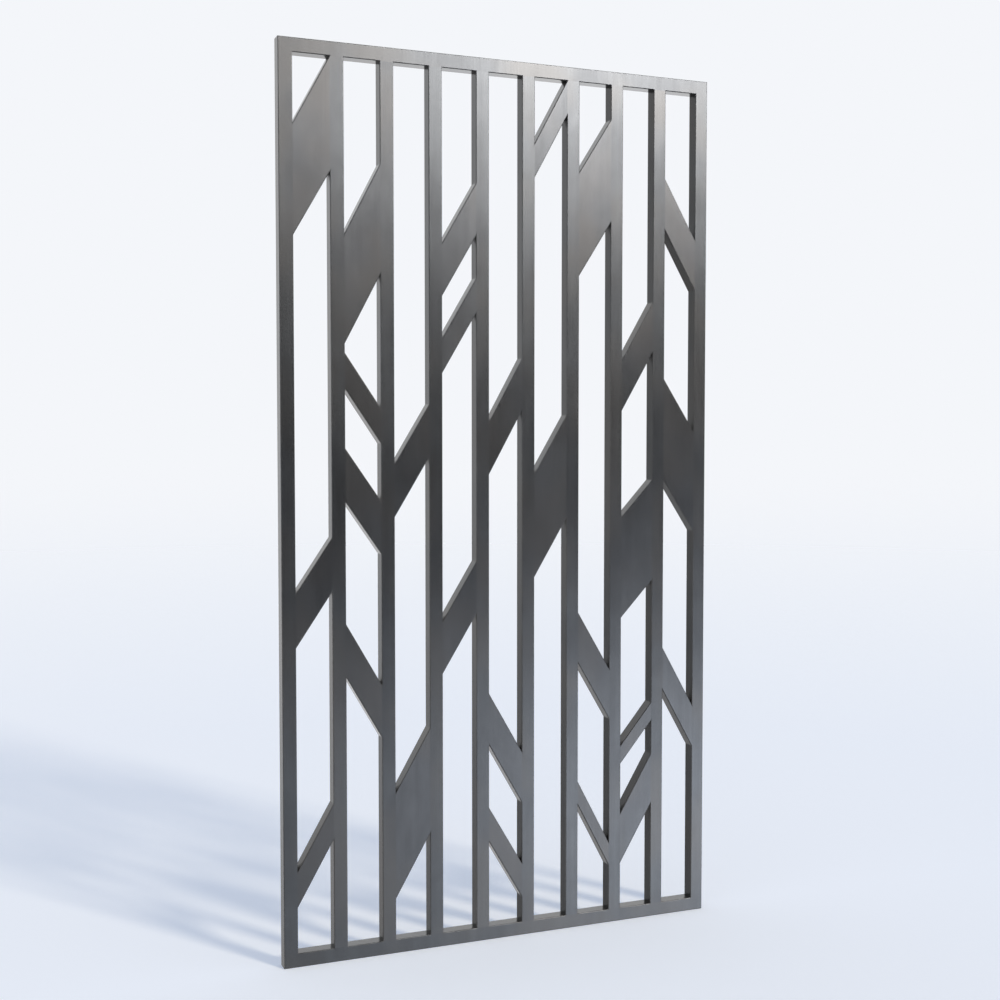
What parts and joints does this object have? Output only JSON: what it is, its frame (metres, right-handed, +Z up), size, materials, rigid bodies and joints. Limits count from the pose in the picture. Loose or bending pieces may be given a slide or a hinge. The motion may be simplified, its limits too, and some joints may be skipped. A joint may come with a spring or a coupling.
{
  "type": "room divider screen",
  "caption": "Tall flat free-standing metal screen: mitred frame, upright bars and slanted infills leaving long vertical slots with angled ends.",
  "frame": {"origin": "on the floor, at the middle of the screen's width and depth", "axes": "+Z up; +X to the right of a person facing the front; the front face looks towards -Y"},
  "size_m": [1.002, 0.03, 1.93],
  "materials": {
    "frame_steel": "blackened and waxed, satin",
    "upright_steel": "blackened and waxed, satin",
    "infill_steel": "blackened and waxed, satin, slightly mottled"
  },
  "bodies": {
    "root": {"bottom_rail": "frame_steel", "top_rail": "frame_steel", "left_stile": "frame_steel", "right_stile": "frame_steel", "upright_1": "upright_steel", "upright_2": "upright_steel", "upright_3": "upright_steel", "upright_4": "upright_steel", "upright_5": "upright_steel", "upright_6": "upright_steel", "upright_7": "upright_steel", "upright_8": "upright_steel", "infill_1_1": "infill_steel", "infill_1_2": "infill_steel", "infill_1_3": "infill_steel", "infill_2_1": "infill_steel", "infill_2_2": "infill_steel", "infill_2_3": "infill_steel", "infill_2_4": "infill_steel", "infill_3_1": "infill_steel", "infill_3_2": "infill_steel", "infill_4_1": "infill_steel", "infill_4_2": "infill_steel", "infill_4_3": "infill_steel", "infill_5_1": "infill_steel", "infill_5_2": "infill_steel", "infill_5_3": "infill_steel", "infill_6_1": "infill_steel", "infill_6_2": "infill_steel", "infill_7_1": "infill_steel", "infill_7_2": "infill_steel", "infill_7_3": "infill_steel", "infill_8_1": "infill_steel", "infill_8_2": "infill_steel", "infill_8_3": "infill_steel", "infill_8_4": "infill_steel", "infill_9_1": "infill_steel", "infill_9_2": "infill_steel", "infill_9_3": "infill_steel"}
  },
  "joints": []
}
